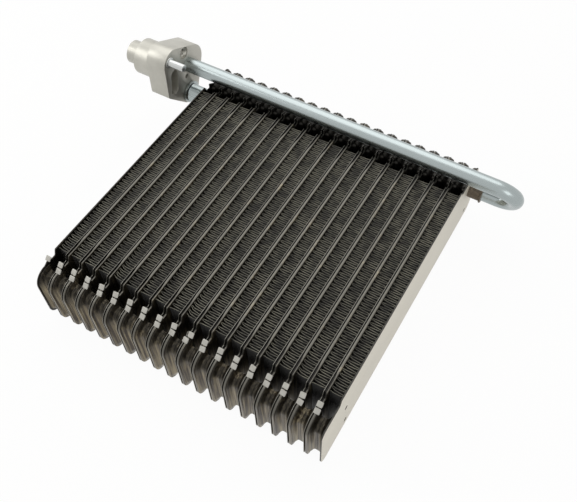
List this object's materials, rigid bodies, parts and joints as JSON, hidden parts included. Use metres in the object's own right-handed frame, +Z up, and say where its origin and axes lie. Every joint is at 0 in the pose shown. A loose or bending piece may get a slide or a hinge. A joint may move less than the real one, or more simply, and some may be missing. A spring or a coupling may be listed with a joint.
{
  "type": "evaporator core",
  "caption": "Plate-fin evaporator core: stamped tube plates with cup tanks, corrugated fins, side plates, a return-bend pipe and a connection block.",
  "frame": {"origin": "centre of the finned block's back face, on which the core lies", "axes": "+X across the tubes, away from the connection block; +Y along the tubes, towards the tank with the ports; +Z up through the depth of the core"},
  "size_m": [0.3538, 0.2567, 0.089],
  "materials": {
    "tube_sheet": "brazed, dark coated",
    "fin_sheet": "brazed, dark coated",
    "side_sheet": "bright mill finish",
    "pipe": "bright drawn",
    "collar": "brazed, dark coated",
    "block": "fine cast and machined",
    "steel": "zinc plated"
  },
  "bodies": {
    "root": {"tube_01": "tube_sheet", "tube_02": "tube_sheet", "tube_03": "tube_sheet", "tube_04": "tube_sheet", "tube_05": "tube_sheet", "tube_06": "tube_sheet", "tube_07": "tube_sheet", "tube_08": "tube_sheet", "tube_09": "tube_sheet", "tube_10": "tube_sheet", "tube_11": "tube_sheet", "tube_12": "tube_sheet", "tube_13": "tube_sheet", "tube_14": "tube_sheet", "tube_15": "tube_sheet", "tube_16": "tube_sheet", "tube_17": "tube_sheet", "tube_18": "tube_sheet", "fin_01": "fin_sheet", "fin_02": "fin_sheet", "fin_03": "fin_sheet", "fin_04": "fin_sheet", "fin_05": "fin_sheet", "fin_06": "fin_sheet", "fin_07": "fin_sheet", "fin_08": "fin_sheet", "fin_09": "fin_sheet", "fin_10": "fin_sheet", "fin_11": "fin_sheet", "fin_12": "fin_sheet", "fin_13": "fin_sheet", "fin_14": "fin_sheet", "fin_15": "fin_sheet", "fin_16": "fin_sheet", "fin_17": "fin_sheet", "fin_18": "fin_sheet", "fin_19": "fin_sheet", "side_plate_left": "tube_sheet", "side_plate_right": "side_sheet", "spacer_near_left": "tube_sheet", "spacer_near_right": "tube_sheet", "spacer_far_left": "tube_sheet", "spacer_far_right": "tube_sheet", "long_pipe": "pipe", "short_pipe": "pipe", "port_collar": "collar", "connection_block": "block", "stud": "steel"}
  },
  "joints": []
}
